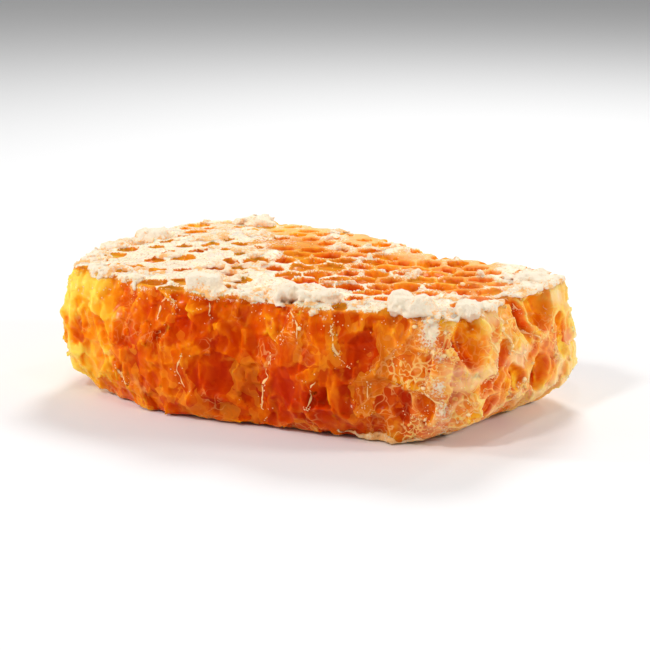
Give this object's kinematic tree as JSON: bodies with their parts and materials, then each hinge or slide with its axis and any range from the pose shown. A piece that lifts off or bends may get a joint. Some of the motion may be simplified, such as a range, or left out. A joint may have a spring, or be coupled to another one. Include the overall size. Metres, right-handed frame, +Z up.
{
  "type": "honeycomb piece",
  "caption": "Cut slab of honeycomb with two tiers of honey-filled wax cells, cut-open half cells round the sides, open cells on top and white wax lumps along its edge.",
  "frame": {"origin": "middle of the plan box, at the height of the flat underside that it rests on", "axes": "+X along the slab's long side, towards its narrower end; +Y across it, towards the back edge; +Z up through the comb's thickness, along the cells"},
  "size_m": [0.0941, 0.067, 0.0282],
  "materials": {
    "honey_comb": "glossy, translucent honey behind wax cell walls",
    "white_wax": "matt, granular capping wax"
  },
  "bodies": {
    "root": {"comb": "honey_comb", "wax_lump_1": "white_wax", "wax_lump_2": "white_wax", "wax_lump_3": "white_wax", "wax_lump_4": "white_wax", "wax_lump_5": "white_wax", "wax_lump_6": "white_wax", "wax_lump_7": "white_wax"}
  },
  "joints": []
}
